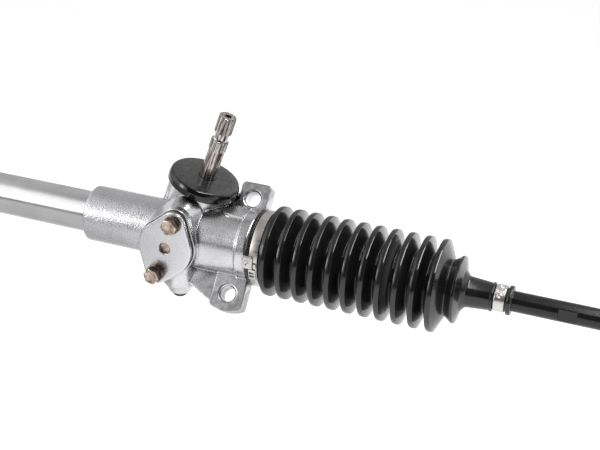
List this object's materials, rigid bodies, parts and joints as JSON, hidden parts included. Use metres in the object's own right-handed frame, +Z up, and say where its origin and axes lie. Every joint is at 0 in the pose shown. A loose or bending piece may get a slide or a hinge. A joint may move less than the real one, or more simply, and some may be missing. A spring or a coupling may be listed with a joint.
{
  "type": "rack and pinion steering gear",
  "caption": "Manual rack-and-pinion steering gear: cast pinion housing with mounting ears, splined pinion, sliding rack, bellows and tie rods on ball joints.",
  "frame": {"origin": "centre of the two ear holes on the ears' back face, where the gear bolts to the car", "axes": "+X along the rack toward the pinion end's tie rod, +Z up, -Y toward the yoke cover; the pinion leans 17 degrees from +Z toward +X"},
  "size_m": [1.0042, 0.0895, 0.1546],
  "materials": {
    "cast_aluminium": "bright cast aluminium with a fine grainy skin",
    "steel_tube": "smooth drawn steel tube, lightly brushed",
    "white_plastic": "natural acetal",
    "bearing_steel": "ground bearing steel",
    "black_steel": "black oxide or paint",
    "seal_rubber": "nitrile rubber",
    "black_cap": "glossy black dust cap",
    "bronze": "sintered bronze bush",
    "bare_steel": "machined steel",
    "sintered_yoke": "machined yoke",
    "zinc_plate": "pale zinc-plated steel plate",
    "gasket": "dark paper gasket",
    "yellow_zinc": "worn yellow zinc",
    "bellows_rubber": "semi-gloss black rubber",
    "band_steel": "stainless band",
    "pinion_steel": "oiled brownish steel",
    "black_rod": "glossy black paint"
  },
  "bodies": {
    "housing": {"rack_housing": "cast_aluminium", "housing_tube": "steel_tube", "far_housing": "cast_aluminium", "rack_bush": "white_plastic", "bearing_outer_race": "bearing_steel", "bearing_circlip": "black_steel", "pinion_seal": "seal_rubber", "dust_cap": "black_cap", "lower_bush": "bronze", "lower_plug": "bare_steel", "filler_plug": "black_steel", "yoke": "sintered_yoke", "yoke_liner": "white_plastic", "yoke_spring": "bare_steel", "yoke_o_ring": "seal_rubber", "yoke_cover": "zinc_plate", "cover_gasket": "gasket", "cover_plug": "yellow_zinc", "cover_bolt_upper": "yellow_zinc", "cover_bolt_lower": "yellow_zinc", "bolt_washer_upper": "yellow_zinc", "bolt_washer_lower": "yellow_zinc", "bellows_near": "bellows_rubber", "bellows_far": "bellows_rubber", "big_clamp_near": "band_steel", "big_clamp_far": "band_steel"},
    "pinion": {"pinion_shaft": "pinion_steel", "bearing_inner_race": "bearing_steel"},
    "ball_cage": {"bearing_balls": "bearing_steel"},
    "rack": {"rack_bar": "bare_steel", "inner_socket_near": "black_steel", "inner_socket_far": "black_steel", "lock_washer_near": "bare_steel", "lock_washer_far": "bare_steel"},
    "near_seat": {"ball_seat_near": "white_plastic"},
    "near_rod": {"tie_rod_near": "black_rod", "jam_nut_near": "yellow_zinc", "small_clamp_near": "band_steel"},
    "far_seat": {"ball_seat_far": "white_plastic"},
    "far_rod": {"tie_rod_far": "black_rod", "jam_nut_far": "yellow_zinc", "small_clamp_far": "band_steel"}
  },
  "joints": [
    {"name": "rack_slide", "type": "slide", "parent": "housing", "child": "rack", "axis": [1, 0, 0], "range_m": [-0.07, 0.07], "deforming": ["bellows_near", "bellows_far"]},
    {"name": "pinion_turn", "type": "hinge", "parent": "housing", "child": "pinion", "pos_m": [-0.0519, 0.00615, 0.00867], "axis": [0.2924, 0, 0.9563], "range_deg": [-575, 575]},
    {"name": "ball_cage_turn", "type": "hinge", "parent": "housing", "child": "ball_cage", "pos_m": [-0.0519, 0.00615, 0.00867], "axis": [0.2924, 0, 0.9563], "range_deg": [-222, 222]},
    {"name": "near_rod_swing", "type": "hinge", "parent": "rack", "child": "near_seat", "pos_m": [0.1122, -0.00727, 0.00867], "axis": [0, 0, 1], "range_deg": [-18, 18], "deforming": ["bellows_near"]},
    {"name": "near_rod_rise", "type": "hinge", "parent": "near_seat", "child": "near_rod", "pos_m": [0.1122, -0.00727, 0.00867], "axis": [0, 1, 0], "range_deg": [-18, 18], "deforming": ["bellows_near"]},
    {"name": "far_rod_swing", "type": "hinge", "parent": "rack", "child": "far_seat", "pos_m": [-0.412, -0.00727, 0.00867], "axis": [0, 0, 1], "range_deg": [-18, 18], "deforming": ["bellows_far"]},
    {"name": "far_rod_rise", "type": "hinge", "parent": "far_seat", "child": "far_rod", "pos_m": [-0.412, -0.00727, 0.00867], "axis": [0, 1, 0], "range_deg": [-18, 18], "deforming": ["bellows_far"]}
  ],
  "couplings": [
    {"joint": "pinion_turn", "follows": "rack_slide", "rad_per_m": 142.86},
    {"joint": "ball_cage_turn", "follows": "rack_slide", "rad_per_m": 54.857}
  ]
}
